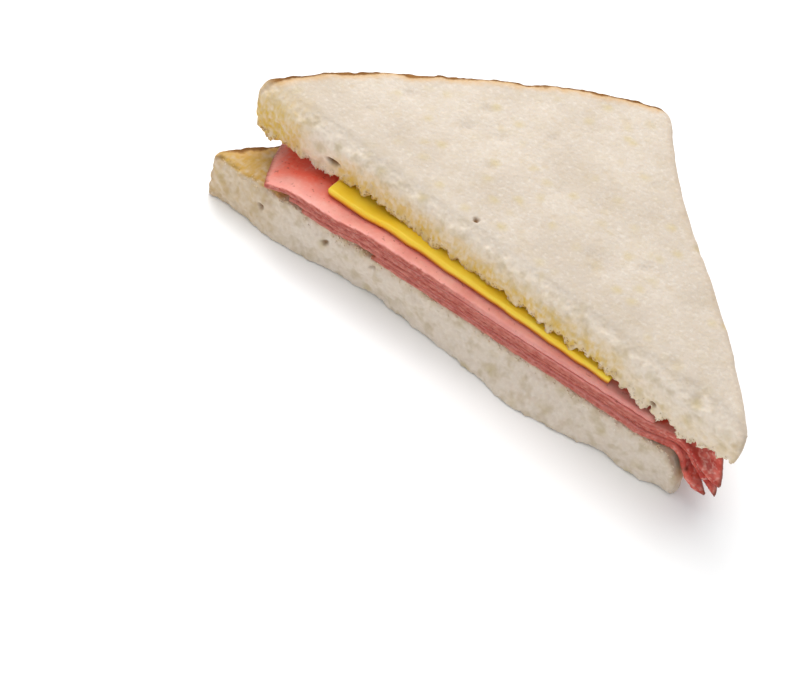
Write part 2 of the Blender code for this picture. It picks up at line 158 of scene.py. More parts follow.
def noise(places, size, seed):
    """Smooth noise from -1 to 1 whose bumps are about size across."""
    scaled = places / size
    cells = np.floor(scaled).astype(np.int64)
    share = ease(scaled - cells)
    total = np.zeros(len(places))
    for corner in itertools.product((0, 1), repeat=3):
        weight = np.prod(np.where(corner, share, 1.0 - share), axis=1)
        total += weight * cell_random(cells + np.array(corner), seed)
    return 2.0 * total - 1.0


def bubbles(places, spacing, radius, portion, seed):
    """Depth from 0 to 1 of open crumb bubbles, one at most in each cell of a loose grid."""
    cells = np.floor(places / spacing).astype(np.int64)
    depth = np.zeros(len(places))
    for offset in itertools.product((-1, 0, 1), repeat=3):
        near = cells + np.array(offset)
        jitter = np.stack([cell_random(near, seed + axis) for axis in range(3)], axis=1)
        reach = np.linalg.norm(places - (near + jitter) * spacing, axis=1)
        size = radius * (0.5 + cell_random(near, seed + 3))
        there = cell_random(near, seed + 4) < portion
        depth = np.maximum(depth, np.where(there, ease(1.0 - reach / size), 0.0))
    return depth


def nearest_to(places, chosen, limit):
    """Each place's distance to the nearest chosen one, up to a limit, and which one it is."""
    tree = kdtree.KDTree(int(chosen.sum()))
    for index, place in enumerate(places[chosen]):
        tree.insert(place, index)
    tree.balance()
    found = [tree.find(place) for place in places]
    return np.array([min(hit[2], limit) for hit in found]), np.array([hit[1] for hit in found])


def reach_along(places, axis, extreme):
    """How far the piece reaches along an axis at each place's own X."""
    bins = ((places[:, 0] - places[:, 0].min()) / (1.2 * MM)).astype(int)
    reach = np.full(bins.max() + 1, np.inf if extreme is np.minimum else -np.inf)
    extreme.at(reach, bins, places[:, axis])
    return reach[bins]


def bake_bread(piece, seed, upper, hollows, stain):
    """Gives a bread slice its bubbles, torn cut and crust, and stores where each of them is.
    upper is 1 for the top slice, whose teeth hang down and whose upper face is open crumb."""
    mesh = piece.data
    places, normals = places_of(mesh)
    side = np.abs(normals[:, 2]) < 0.55
    facing_cut = ease((-normals[:, 1] - 0.15) / 0.5)
    cut_here = side & (normals[:, 1] < -0.60) & (np.abs(normals[:, 0]) < 0.55)
    crust_here = side & (normals[:, 1] > -0.30)
    crust_depth, nearest = nearest_to(places, crust_here, CRUST_REACH)
    baked = ease(0.5 - 1.5 * normals[crust_here][nearest, 0])
    cut_depth, _ = nearest_to(places, cut_here, CRUST_REACH)
    baked *= 0.15 + 0.85 * ease((cut_depth - CRUST_FADE_FROM) / CRUST_FADE)
    crust = ease(1.0 - crust_depth / CRUST_EDGE)
    if upper:
        rise = places[:, 2] - reach_along(places, 2, np.minimum)
    else:
        rise = reach_along(places, 2, np.maximum) - places[:, 2]
    fringe = facing_cut * ease(1.0 - rise / FRINGE_RISE)
    near_cut = ease(1.0 - cut_depth / TORN_REACH)
    open_face = np.maximum(ease(normals[:, 2] * 2.0 - 0.5) * upper, facing_cut) * (1.0 - crust)

    # Bubbles of three sizes and the few open hollows, which have ragged rims
    small = bubbles(places, *SMALL_BUBBLES, seed)
    middle = bubbles(places, *MIDDLE_BUBBLES, seed + 10)
    large = bubbles(places, *LARGE_BUBBLES, seed + 20)
    hollow = np.zeros(len(places))
    ragged = 1.0 + 0.45 * noise(places, 1.3 * MM, seed + 35)
    for x, y, z, radius, stretch, depth in hollows:
        away = (places - np.array((x, y, z)) * MM) / np.array((stretch, 1.0, 1.0))
        away = np.linalg.norm(away, axis=1) * ragged
        hollow = np.maximum(hollow, depth * ease(1.3 * (1.0 - away / (radius * MM))))

    # Heights in millimetres: grain all over, torn lumps near the cut, a broad swell, and
    # bumps where the crust is baked
    crumb = 0.060 * noise(places, 1.1 * MM, seed + 30) + 0.040 * noise(places, 0.6 * MM, seed + 31)
    torn = 0.26 * noise(places, 1.5 * MM, seed + 32) + 0.16 * noise(places, 0.8 * MM, seed + 33)
    swell = 0.18 * noise(places, 6.0 * MM, seed + 34)
    pits = (0.12 * small + 0.30 * middle + 0.40 * large) * (0.45 + 0.75 * near_cut)
    move = open_face * (swell - pits) - hollow * HOLLOW_DEPTH_MM
    move += crumb * (0.4 + 0.6 * open_face)
    move += near_cut * torn * np.maximum(facing_cut, 0.35 * open_face)
    bumps = 0.42 * noise(places, 2.6 * MM, seed + 40) + 0.24 * noise(places, 1.2 * MM, seed + 41)
    move += crust * baked * ease(1.5 - np.abs(normals[:, 2]) * 1.2) * np.maximum(bumps, -0.1)
    places += normals * (move * MM)[:, None]

    # Teeth of torn crumb along the edge beside the fillings
    along = places * np.array([1.0, 0.3, 0.3])
    teeth = 0.65 * noise(along, 1.7 * MM, seed + 50) + 0.45 * noise(along, 0.8 * MM, seed + 51)
    teeth = np.clip(teeth + (0.50 if upper else 0.15), -0.3, 1.2) * fringe
    out, along_z = UPPER_TEETH_MM if upper else LOWER_TEETH_MM
    places[:, 1] -= out * MM * teeth
    places[:, 2] += along_z * MM * teeth
    places[:, 2] = np.maximum(places[:, 2], 0.0)
    put_places(mesh, places)

    # What the bread's material and the flecks read
    speckle = 0.75 + 0.45 * noise(places, 1.0 * MM, seed + 60)
    store(mesh, "crust_depth", crust_depth / MM)
    store(mesh, "baked", baked)
    # Mask of the painted shade in the bubble pits
    store(mesh, "pit_shade", np.clip(open_face * (0.4 * small + 0.7 * middle + large), 0.0, 1.0))
    # Mask of the painted shade in the open hollows
    store(mesh, "hollow", np.clip(hollow * 1.4, 0.0, 1.0))
    store(mesh, "stain", np.clip(stain(places, normals, rise) * speckle, 0.0, 1.0))
    # Mask of the painted light on the cut faces
    store(mesh, "painted_cut_light", ease((-normals[:, 1] - 0.36) / 0.50) * (1.0 - crust))
    store(mesh, "flecks", facing_cut * (1.0 - crust) * ease(1.0 - rise / FRINGE_RISE))


def linear(hex_colour):
    """A colour written as sRGB hex, as linear light."""
    channels = [int(hex_colour[i : i + 2], 16) / 255.0 for i in (1, 3, 5)]
    light = [c / 12.92 if c <= 0.04045 else ((c + 0.055) / 1.055) ** 2.4 for c in channels]
    return (*light, 1.0)


def add_node(tree, kind, inputs, output=0, **settings):
    """Adds a node, sets and links what it is told, and gives back one of its output sockets.
    A Mix node's input 0 is its factor, 4 and 5 are its vectors with output 1, and 6 and 7 its
    colours with output 2. A Map Range node's input 0 is its value, 1 and 2 are the range it
    comes from, and 3 and 4 the range it goes to."""
    node = tree.nodes.new(kind)
    for name, value in settings.items():
        setattr(node, name, value)
    for name, value in inputs.items():
        if isinstance(value, bpy.types.NodeSocket):
            tree.links.new(value, node.inputs[name])
        else:
            node.inputs[name].default_value = value
    return node.outputs[output] if len(node.outputs) else node


def bread_material(name, crumb, shade, painted_cut_light, stain, stain_least, seed_shift):
    """Baked white bread: a matt, slightly translucent crumb and a thin brown crust skin.
    stain_least is the part of the stain that shows between its tufts, and seed_shift moves the
    patterns, so that the two slices differ."""
    material = bpy.data.materials.new(name)
    material.use_nodes = True
    tree = material.node_tree
    shader = tree.nodes["Principled BSDF"]
    place = add_node(tree, "ShaderNodeTexCoord", {}, "Object")
    place = add_node(tree, "ShaderNodeMapping", {"Vector": place, "Location": (seed_shift,) * 3})
    kept = {
        key: add_node(tree, "ShaderNodeAttribute", {}, "Fac", attribute_name=key)
        for key in ("crust_depth", "baked", "painted_cut_light", "pit_shade", "hollow", "stain")
    }

    # Broad drift between two close crumb tones, lighter on the cut faces as painted light, then a
    # fine grain of bubbles in painted light and shade
    broad = add_node(tree, "ShaderNodeTexNoise", {"Vector": place, "Scale": 1.0 / BROAD_DRIFT})
    broad = add_node(tree, "ShaderNodeMapRange", {0: broad, 1: 0.38, 2: 0.62})
    colour = add_node(
        tree, "ShaderNodeMix", {0: broad, 6: linear(crumb), 7: linear(shade)}, 2, data_type="RGBA"
    )
    colour = add_node(
        tree,
        "ShaderNodeMix",
        {0: kept["painted_cut_light"], 6: colour, 7: linear(painted_cut_light)},
        2,
        data_type="RGBA",
    )
    grain = add_node(
        tree, "ShaderNodeTexNoise", {"Vector": place, "Scale": 1.0 / CRUMB_GRAIN, "Detail": 4.0}
    )
    shaded = add_node(tree, "ShaderNodeMapRange", {0: grain, 1: 0.44, 2: 0.72, 4: 0.22})
    colour = add_node(
        tree, "ShaderNodeMix", {0: shaded, 6: colour, 7: linear("#c4b19a")}, 2, data_type="RGBA"
    )
    lit = add_node(tree, "ShaderNodeMapRange", {0: grain, 1: 0.46, 2: 0.26, 4: 0.20})
    colour = add_node(
        tree, "ShaderNodeMix", {0: lit, 6: colour, 7: linear("#f4ece1")}, 2, data_type="RGBA"
    )

    # Tan blotches where the crumb is denser, stronger on the cut faces
    mottle = add_node(
        tree, "ShaderNodeTexNoise", {"Vector": place, "Scale": 1.0 / CRUMB_MOTTLE, "Detail": 2.0}
    )
    mottle = add_node(tree, "ShaderNodeMapRange", {0: mottle, 1: 0.50, 2: 0.70, 4: 0.50})
    weight = add_node(tree, "ShaderNodeMapRange", {0: kept["painted_cut_light"], 3: 0.35, 4: 1.0})
    mottle = add_node(tree, "ShaderNodeMath", {0: mottle, 1: weight}, operation="MULTIPLY")
    colour = add_node(
        tree, "ShaderNodeMix", {0: mottle, 6: colour, 7: linear("#b9a682")}, 2, data_type="RGBA"
    )

    # Round tan spots 2 to 4 mm across, where a bubble lies just under the surface
    bend = add_node(
        tree, "ShaderNodeTexNoise", {"Vector": place, "Scale": 1.0 / (3.0 * MM)}, "Color"
    )
    bent = add_node(
        tree,
        "ShaderNodeMix",
        {0: SPOT_BEND, 4: place, 5: bend},
        1,
        data_type="VECTOR",
        clamp_factor=False,
    )
    spots = add_node(
        tree, "ShaderNodeTexVoronoi", {"Vector": bent, "Scale": 1.0 / SPOT_SPACING}, "Distance"
    )
    draw = add_node(
        tree, "ShaderNodeTexVoronoi", {"Vector": bent, "Scale": 1.0 / SPOT_SPACING}, "Color"
    )
    chosen = add_node(tree, "ShaderNodeMapRange", {0: draw, 1: 0.25, 2: 0.75, 4: 0.58})
    spot = add_node(
        tree,
        "ShaderNodeMapRange",
        {0: spots, 1: 0.42, 2: 0.02},
        interpolation_type="SMOOTHSTEP",
    )
    spot = add_node(tree, "ShaderNodeMath", {0: spot, 1: chosen}, operation="MULTIPLY")
    colour = add_node(
        tree, "ShaderNodeMix", {0: spot, 6: colour, 7: linear("#c4b284")}, 2, data_type="RGBA"
    )
    # Painted shade in the pits of the open bubbles
    pit_shade = add_node(tree, "ShaderNodeMath", {0: kept["pit_shade"], 1: 0.35}, operation="MULTIPLY")
    colour = add_node(
        tree, "ShaderNodeMix", {0: pit_shade, 6: colour, 7: linear("#b99f74")}, 2, data_type="RGBA"
    )

    # Stain of cheese and fat by the fillings, and deep brown painted shade in the few open hollows
    tufts = add_node(tree, "ShaderNodeMapping", {"Vector": place, "Scale": (1.0, 0.4, 0.4)})
    tufts = add_node(
        tree, "ShaderNodeTexNoise", {"Vector": tufts, "Scale": 1.0 / STAIN_TUFTS, "Detail": 2.0}
    )
    stained = add_node(tree, "ShaderNodeMapRange", {0: tufts, 1: 0.32, 2: 0.62, 3: stain_least})
    stained = add_node(
        tree, "ShaderNodeMath", {0: kept["stain"], 1: stained}, operation="MULTIPLY"
    )
    colour = add_node(
        tree, "ShaderNodeMix", {0: stained, 6: colour, 7: linear(stain)}, 2, data_type="RGBA"
    )
    colour = add_node(
        tree,
        "ShaderNodeMix",
        {0: kept["hollow"], 6: colour, 7: linear("#7d5a3a")},
        2,
        data_type="RGBA",
    )

    # Crust: golden under the skin for a few millimetres, then a brown skin of uneven width
    uneven = add_node(
        tree, "ShaderNodeTexNoise", {"Vector": place, "Scale": 1.0 / CRUST_UNEVEN, "Detail": 3.0}
    )
    depth = add_node(
        tree,
        "ShaderNodeMath",
        {0: uneven, 1: -3.0, 2: kept["crust_depth"]},
        operation="MULTIPLY_ADD",
    )
    gold = add_node(
        tree,
        "ShaderNodeMapRange",
        {0: depth, 1: -0.4, 2: 3.0, 3: 0.75, 4: 0.0},
        interpolation_type="SMOOTHSTEP",
    )
    paleness = add_node(tree, "ShaderNodeMapRange", {0: kept["baked"], 3: 0.08, 4: 1.0})
    gold = add_node(tree, "ShaderNodeMath", {0: gold, 1: paleness}, operation="MULTIPLY")
    colour = add_node(
        tree, "ShaderNodeMix", {0: gold, 6: colour, 7: linear("#cda062")}, 2, data_type="RGBA"
    )
    skin = add_node(
        tree,
        "ShaderNodeMapRange",
        {0: depth, 1: -0.35, 2: 0.75, 3: 1.0, 4: 0.0},
        interpolation_type="SMOOTHSTEP",
    )
    skin = add_node(tree, "ShaderNodeMath", {0: skin, 1: paleness}, operation="MULTIPLY")
    toast = add_node(tree, "ShaderNodeMapRange", {0: uneven, 1: 0.20, 2: 0.80})
    browned = add_node(
        tree,
        "ShaderNodeMix",
        {0: toast, 6: linear("#543214"), 7: linear("#8a5e30")},
        2,
        data_type="RGBA",
    )
    colour = add_node(
        tree, "ShaderNodeMix", {0: skin, 6: colour, 7: browned}, 2, data_type="RGBA"
    )
    tree.links.new(colour, shader.inputs["Base Color"])

    # Fine pores, drawn a little coarser than the real ones so that they show
    pores = add_node(
        tree, "ShaderNodeTexVoronoi", {"Vector": place, "Scale": 1.0 / CRUMB_GRAIN}, "Distance"
    )
    height = add_node(tree, "ShaderNodeMath", {0: grain, 1: pores}, operation="ADD")
    relief = add_node(
        tree, "ShaderNodeBump", {"Height": height, "Strength": 0.45, "Distance": 0.30 * MM}
    )
    tree.links.new(relief, shader.inputs["Normal"])
    shader.inputs["Roughness"].default_value = 0.95
    shader.inputs["Specular IOR Level"].default_value = 0.12
    shader.inputs["Subsurface Weight"].default_value = 0.25
    shader.inputs["Subsurface Radius"].default_value = (1.0, 0.8, 0.6)
    shader.inputs["Subsurface Scale"].default_value = 1.0 * MM
    return material


def dress(piece, material, node):
    """Gives a finished piece its material and puts it in its node's place."""
    piece.data.materials.clear()
    piece.data.materials.append(material)
    piece.data.shade_smooth()
    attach(piece, "root")
    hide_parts(node)


def bottom_stain(places, normals, rise):
    """Golden left tip, where crust colour has spread over the bare upper face and the cut,
    and a faint smear beside the fillings."""
    from_left = places[:, 0] / MM
    bare_face = 1.3 * ease(normals[:, 2] * 2.0 - 0.6) * ease((-50.0 - from_left) / 8.0)
    cut_left = 0.50 * ease((-46.0 - from_left) / 20.0)
    under_filling = 0.30 * ease(1.0 - rise / (3.0 * MM))
    return np.maximum(np.maximum(bare_face, cut_left), under_filling)


bottom_bread = fine_copy("bread_bottom", "white_bread_bottom", BREAD_FACE_SIZE, BREAD_MELT_STEPS)
bake_bread(bottom_bread, BOTTOM_SEED, 0.0, BOTTOM_HOLLOWS, bottom_stain)
bottom_crumb = bread_material(
    "white_bread_crumb_bottom",
    crumb="#cdc0b0",
    shade="#c4b6a6",
    # Painted light on the cut faces
    painted_cut_light="#dfd1c1",
    stain="#bd9850",
    stain_least=0.8,
    seed_shift=0.0,
)
dress(bottom_bread, bottom_crumb, "bread_bottom")

# Bologna: a smooth cured sausage of finely ground pork and beef, cooked in a casing and sliced
# thin. Four round slices lie over one another and are cut through with the bread, so the cut
# shows their edges, and the fan of rims hangs out at the right.
BOLOGNA_FACE_SIZE = 0.42 * MM
BOLOGNA_MELT_STEPS = 5
BOLOGNA_SEED = 200
BOLOGNA_SLICES = 4
BOLOGNA_SWELL = 0.15 * MM
RIM_REACH = 4.0 * MM
CASING_WIDTH = 1.1 * MM
# In millimetres along the cut: where the painted light on the uppermost slice's cut edge, the
# bare part past the cheese and the fan begin, each with the length over which it grows
PAINTED_EDGE_LIGHT = (-12.0, 26.0)
PAST_CHEESE = (38.0, 8.0)
FAN = (48.0, 20.0)


def bologna_material(name):
    """Cured sausage: pink, moist and slightly glossy, with fat specks and a brown casing."""
    material = bpy.data.materials.new(name)
    material.use_nodes = True
    tree = material.node_tree
    shader = tree.nodes["Principled BSDF"]
    place = add_node(tree, "ShaderNodeTexCoord", {}, "Object")
    kept = {
        key: add_node(tree, "ShaderNodeAttribute", {}, "Fac", attribute_name=key)
        for key in ("casing", "cut_face", "inward", "fan")
    }

    # Face: light pink near the cut, painted deep red further in as the shade under the top bread
    cloud = add_node(
        tree, "ShaderNodeTexNoise", {"Vector": place, "Scale": 1.0 / (6.0 * MM), "Detail": 3.0}
    )
    cloud = add_node(tree, "ShaderNodeMapRange", {0: cloud, 1: 0.35, 2: 0.65})
    colour = add_node(
        tree,
        "ShaderNodeMix",
        {0: cloud, 6: linear("#e4948a"), 7: linear("#eda79c")},
        2,
        data_type="RGBA",
    )
    colour = add_node(
        tree,
        "ShaderNodeMix",
        {0: kept["inward"], 6: colour, 7: linear("#fa6042")},
        2,
        data_type="RGBA",
    )

    # Cut: darker as painted shade, with fine streaks that the knife drew along it
    along = add_node(tree, "ShaderNodeMapping", {"Vector": place, "Scale": (0.35, 1.0, 1.0)})
    streaks = add_node(
        tree, "ShaderNodeTexNoise", {"Vector": along, "Scale": 1.0 / (0.6 * MM), "Detail": 3.0}
    )
    streaks = add_node(tree, "ShaderNodeMapRange", {0: streaks, 1: 0.36, 2: 0.66})
    cut_colour = add_node(
        tree,
        "ShaderNodeMix",
        {0: streaks, 6: linear("#a94c3e"), 7: linear("#c67565")},
        2,
        data_type="RGBA",
    )
    colour = add_node(
        tree,
        "ShaderNodeMix",
        {0: kept["cut_face"], 6: colour, 7: cut_colour},
        2,
        data_type="RGBA",
    )

    # Fan: deep and lighter red in turn, painted shade and light for the folded rims
    fold_light_and_shade = add_node(
        tree, "ShaderNodeTexNoise", {"Vector": place, "Scale": 1.0 / (3.4 * MM), "Detail": 2.0}
    )
    fold_light_and_shade = add_node(tree, "ShaderNodeMapRange", {0: fold_light_and_shade, 1: 0.40, 2: 0.60})
    fan_colour = add_node(
        tree,
        "ShaderNodeMix",
        {0: fold_light_and_shade, 6: linear("#b43224"), 7: linear("#dc6a5a")},
        2,
        data_type="RGBA",
    )
    colour = add_node(
        tree, "ShaderNodeMix", {0: kept["fan"], 6: colour, 7: fan_colour}, 2, data_type="RGBA"
    )

    # Specks of fat, clearest on the fan, and of dark spice, then the brown casing at the rim
    specks = add_node(
        tree, "ShaderNodeTexNoise", {"Vector": place, "Scale": 1.0 / (1.1 * MM), "Detail": 1.0}
    )
    fat = add_node(tree, "ShaderNodeMapRange", {0: specks, 1: 0.52, 2: 0.75, 4: 0.55})
    shown = add_node(tree, "ShaderNodeMapRange", {0: kept["fan"], 3: 0.30, 4: 1.0})
    fat = add_node(tree, "ShaderNodeMath", {0: fat, 1: shown}, operation="MULTIPLY")
    colour = add_node(
        tree, "ShaderNodeMix", {0: fat, 6: colour, 7: linear("#f6c8ba")}, 2, data_type="RGBA"
    )
    spice = add_node(tree, "ShaderNodeMapRange", {0: specks, 1: 0.33, 2: 0.25, 4: 0.4})
    colour = add_node(
        tree, "ShaderNodeMix", {0: spice, 6: colour, 7: linear("#7c2a22")}, 2, data_type="RGBA"
    )
    casing = add_node(
        tree,
        "ShaderNodeMix",
        {0: kept["fan"], 6: linear("#96481e"), 7: linear("#6a2812")},
        2,
        data_type="RGBA",
    )
    colour = add_node(
        tree,
        "ShaderNodeMix",
        {0: kept["casing"], 6: colour, 7: casing},
        2,
        data_type="RGBA",
    )
    tree.links.new(colour, shader.inputs["Base Color"])
    relief = add_node(
        tree, "ShaderNodeBump", {"Height": specks, "Strength": 0.25, "Distance": 0.15 * MM}
    )
    tree.links.new(relief, shader.inputs["Normal"])
    shader.inputs["Roughness"].default_value = 0.40
    shader.inputs["IOR"].default_value = 1.40
    shader.inputs["Subsurface Weight"].default_value = 0.35
    shader.inputs["Subsurface Radius"].default_value = (1.0, 0.35, 0.25)
    shader.inputs["Subsurface Scale"].default_value = 1.2 * MM
    return material


def make_bologna(index, material):
    """One slice: smooth faces, and a cut edge dragged into fine streaks. Along the right part
    the uppermost one's cut edge is painted as light as its face, a painted highlight.
    The swell closes the gap to the next slice, so that neighbours press into one another."""
    node = f"bologna_slice_{index}"
    piece = fine_copy(node, f"bologna_{index}", BOLOGNA_FACE_SIZE, BOLOGNA_MELT_STEPS)
    places, normals = places_of(piece.data)
    seed = BOLOGNA_SEED + 20 * index
    side = np.abs(normals[:, 2]) < 0.6
    rim_here = side & (normals[:, 1] > -0.45)
    facing_cut = ease((-normals[:, 1] - 0.25) / 0.5)
    rim_depth, _ = nearest_to(places, rim_here, RIM_REACH)
    behind_cut = (places[:, 1] - reach_along(places, 1, np.minimum)) / MM
    from_middle = places[:, 0] / MM
    along = places * np.array([0.2, 1.0, 1.0])
    move = 0.05 * noise(places, 3.0 * MM, seed) + 0.02 * noise(places, 0.9 * MM, seed + 1)
    move += facing_cut * 0.05 * noise(along, 0.9 * MM, seed + 2)
    move += facing_cut * 0.08 * noise(places, 1.6 * MM, seed + 3)
    places += normals * (move * MM + BOLOGNA_SWELL)[:, None]
    put_places(piece.data, places)
    drift = 1.0 + 0.35 * noise(places, 4.0 * MM, seed + 4)
    store(piece.data, "casing", ease(1.0 - rim_depth / CASING_WIDTH))
    # Painted highlight: the uppermost slice's cut edge keeps its face's light colour on the right
    painted_edge_light = 0.0
    if index == BOLOGNA_SLICES:
        painted_edge_light = 0.85 * ease((from_middle - PAINTED_EDGE_LIGHT[0]) / PAINTED_EDGE_LIGHT[1])
    # The painted red shade and the fan's colour fade out from 18 to 34 mm behind the cut
    near_cut = ease((34.0 - behind_cut) / 16.0)
    # Mask of the painted shade on the cut, left off the uppermost slice's lit edge
    store(piece.data, "cut_face", facing_cut * ease(rim_depth / (0.6 * MM)) * (1.0 - painted_edge_light))
    past_cheese = ease((from_middle - PAST_CHEESE[0]) / PAST_CHEESE[1])
    # The painted red shade on the face rises from 2 mm behind the cut over 8 mm, and past the
    # cheese from 1.4 mm over 2 mm
    inward = (behind_cut * drift - 2.0 + 0.6 * past_cheese) / (8.0 - 6.0 * past_cheese)
    store(piece.data, "inward", 0.95 * ease(inward) * near_cut)
    fan = 0.85 * ease((from_middle - FAN[0]) / FAN[1])
    store(piece.data, "fan", fan * drift * near_cut)
    dress(piece, material, node)


cured_sausage = bologna_material("cured_sausage")
for slice_index in range(BOLOGNA_SLICES):
    make_bologna(slice_index + 1, cured_sausage)

# Processed cheese: one square slice poured and set flat, smooth and slightly waxy, its cut edge
# pressed round by the knife.
CHEESE_FACE_SIZE = 0.40 * MM
CHEESE_MELT_STEPS = 22
CHEESE_THICKNESS = 2.4 * MM
CHEESE_BULGE_MM = 0.30
# The strip behind the cut on which height counts, from 0 at its foot
CHEESE_FRONT = 2.5 * MM
CHEESE_SEED = 400


def cheese_material(name):
    """Set processed cheese: even deep yellow, waxy, with light passing into its edge."""
    material = bpy.data.materials.new(name)
    material.use_nodes = True
    tree = material.node_tree
    shader = tree.nodes["Principled BSDF"]
    place = add_node(tree, "ShaderNodeTexCoord", {}, "Object")
    cloud = add_node(
        tree, "ShaderNodeTexNoise", {"Vector": place, "Scale": 1.0 / (6.0 * MM), "Detail": 3.0}
    )
    cloud = add_node(tree, "ShaderNodeMapRange", {0: cloud, 1: 0.35, 2: 0.65})
    colour = add_node(
        tree,
        "ShaderNodeMix",
        {0: cloud, 6: linear("#ffd230"), 7: linear("#ffdc46")},
        2,
        data_type="RGBA",
    )

    # Painted shadow browns its foot on the bologna; painted shade dulls it under the bread
    height = add_node(tree, "ShaderNodeAttribute", {}, "Fac", attribute_name="height")
    foot = add_node(
        tree,
        "ShaderNodeMapRange",
        {0: height, 1: 0.22, 2: 0.78, 3: 1.0, 4: 0.0},
        interpolation_type="SMOOTHSTEP",
    )
    colour = add_node(
        tree, "ShaderNodeMix", {0: foot, 6: colour, 7: linear("#c46a16")}, 2, data_type="RGBA"
    )
    inward = add_node(tree, "ShaderNodeAttribute", {}, "Fac", attribute_name="inward")
    overhang_shade = add_node(tree, "ShaderNodeMapRange", {0: inward, 1: 2.0, 2: 4.0, 4: 0.12})
    colour = add_node(
        tree, "ShaderNodeMix", {0: overhang_shade, 6: colour, 7: linear("#f0b020")}, 2, data_type="RGBA"
    )
    tree.links.new(colour, shader.inputs["Base Color"])
    grain = add_node(
        tree, "ShaderNodeTexNoise", {"Vector": place, "Scale": 1.0 / (1.2 * MM), "Detail": 2.0}
    )
    relief = add_node(
        tree, "ShaderNodeBump", {"Height": grain, "Strength": 0.15, "Distance": 0.10 * MM}
    )
    tree.links.new(relief, shader.inputs["Normal"])
    shader.inputs["Roughness"].default_value = 0.32
    shader.inputs["IOR"].default_value = 1.45
    shader.inputs["Subsurface Weight"].default_value = 0.30
    shader.inputs["Subsurface Radius"].default_value = (1.0, 0.7, 0.15)
    shader.inputs["Subsurface Scale"].default_value = 1.2 * MM
    return material


cheese = fine_copy("cheese_slice", "cheese", CHEESE_FACE_SIZE, CHEESE_MELT_STEPS)
cheese_places, cheese_normals = places_of(cheese.data)
cheese_facing_cut = ease((-cheese_normals[:, 1] - 0.15) / 0.5)
cheese_move = 0.10 * noise(cheese_places, 5.0 * MM, CHEESE_SEED)
cheese_bulge = CHEESE_BULGE_MM + 0.15 * noise(cheese_places, 4.0 * MM, CHEESE_SEED + 1)
cheese_move += cheese_facing_cut * cheese_bulge
cheese_places += cheese_normals * (cheese_move * MM)[:, None]
put_places(cheese.data, cheese_places)
cheese_inward = cheese_places[:, 1] - reach_along(cheese_places, 1, np.minimum)
at_front = cheese_inward < CHEESE_FRONT
front_places = cheese_places[at_front]
front_rise = front_places[:, 2] - reach_along(front_places, 2, np.minimum)
cheese_height = np.ones(len(cheese_places))
cheese_height[at_front] = front_rise / CHEESE_THICKNESS
store(cheese.data, "height", cheese_height)
store(cheese.data, "inward", cheese_inward / MM)
dress(cheese, cheese_material("processed_cheese"), "cheese_slice")

# White sandwich bread, the top slice: the same loaf, laid on the fillings with its crumb face
# up. Its cut edge is soft and round above, and torn into teeth below, where it drags on them.
TOP_SEED = 71
TOP_HOLLOWS = (
    (-48.1, -34.0, 26.3, 1.2, 2.6, 0.9),
    (-7.2, -29.3, 34.9, 0.9, 1.0, 0.8),
    (53.3, -33.6, 23.7, 1.3, 1.0, 0.7),
)


def top_stain(places, normals, rise):
    """Yellow smear of crumb above the cheese, weaker where there is only bologna below, and
    a golden left end."""
    from_left = places[:, 0] / MM
    over_cheese = ease((from_left + 50.0) / 6.0) * ease((46.0 - from_left) / 8.0)
    on_cut = ease((-normals[:, 1] + 0.1) / 0.4)
    left_end = 1.25 * ease((-52.0 - from_left) / 13.0) * ease(1.5 - rise / (12.0 * MM))
    tips = over_cheese * ease(1.2 - rise / (2.4 * MM))
    smear = (0.30 + 0.70 * over_cheese) * ease(1.3 - rise / (8.5 * MM))
    return on_cut * np.maximum(np.maximum(smear, left_end), 1.2 * tips)


top_bread = fine_copy("bread_top", "white_bread_top", BREAD_FACE_SIZE, BREAD_MELT_STEPS)
bake_bread(top_bread, TOP_SEED, 1.0, TOP_HOLLOWS, top_stain)
top_crumb = bread_material(
    "white_bread_crumb_top",
    crumb="#cdc1b3",
    shade="#c3b6a7",
    # Painted light on the cut faces
    painted_cut_light="#eadccb",
    stain="#d8b458",
    stain_least=0.5,
    seed_shift=0.3,
)
dress(top_bread, top_crumb, "bread_top")

# Crumb flecks: shreds of bread crumb that the knife pulled up along both slices' cuts. They
# stick to a strip of the cut beside the fillings, thickest at its edge.
FLECK_LEAST = 0.16 * MM
FLECK_MOST = 0.42 * MM
FLECKS_PER_M2 = 1.5e6
FLECK_SEED = 5
# Nearly a whole turn in radians, the full range of the push on a fleck's vertices, and the
# size of the noise that pushes them
FLECK_TURN = 6.28
FLECK_ROUGHNESS = 0.35 * MM
FLECK_GRAIN = 0.5 * MM


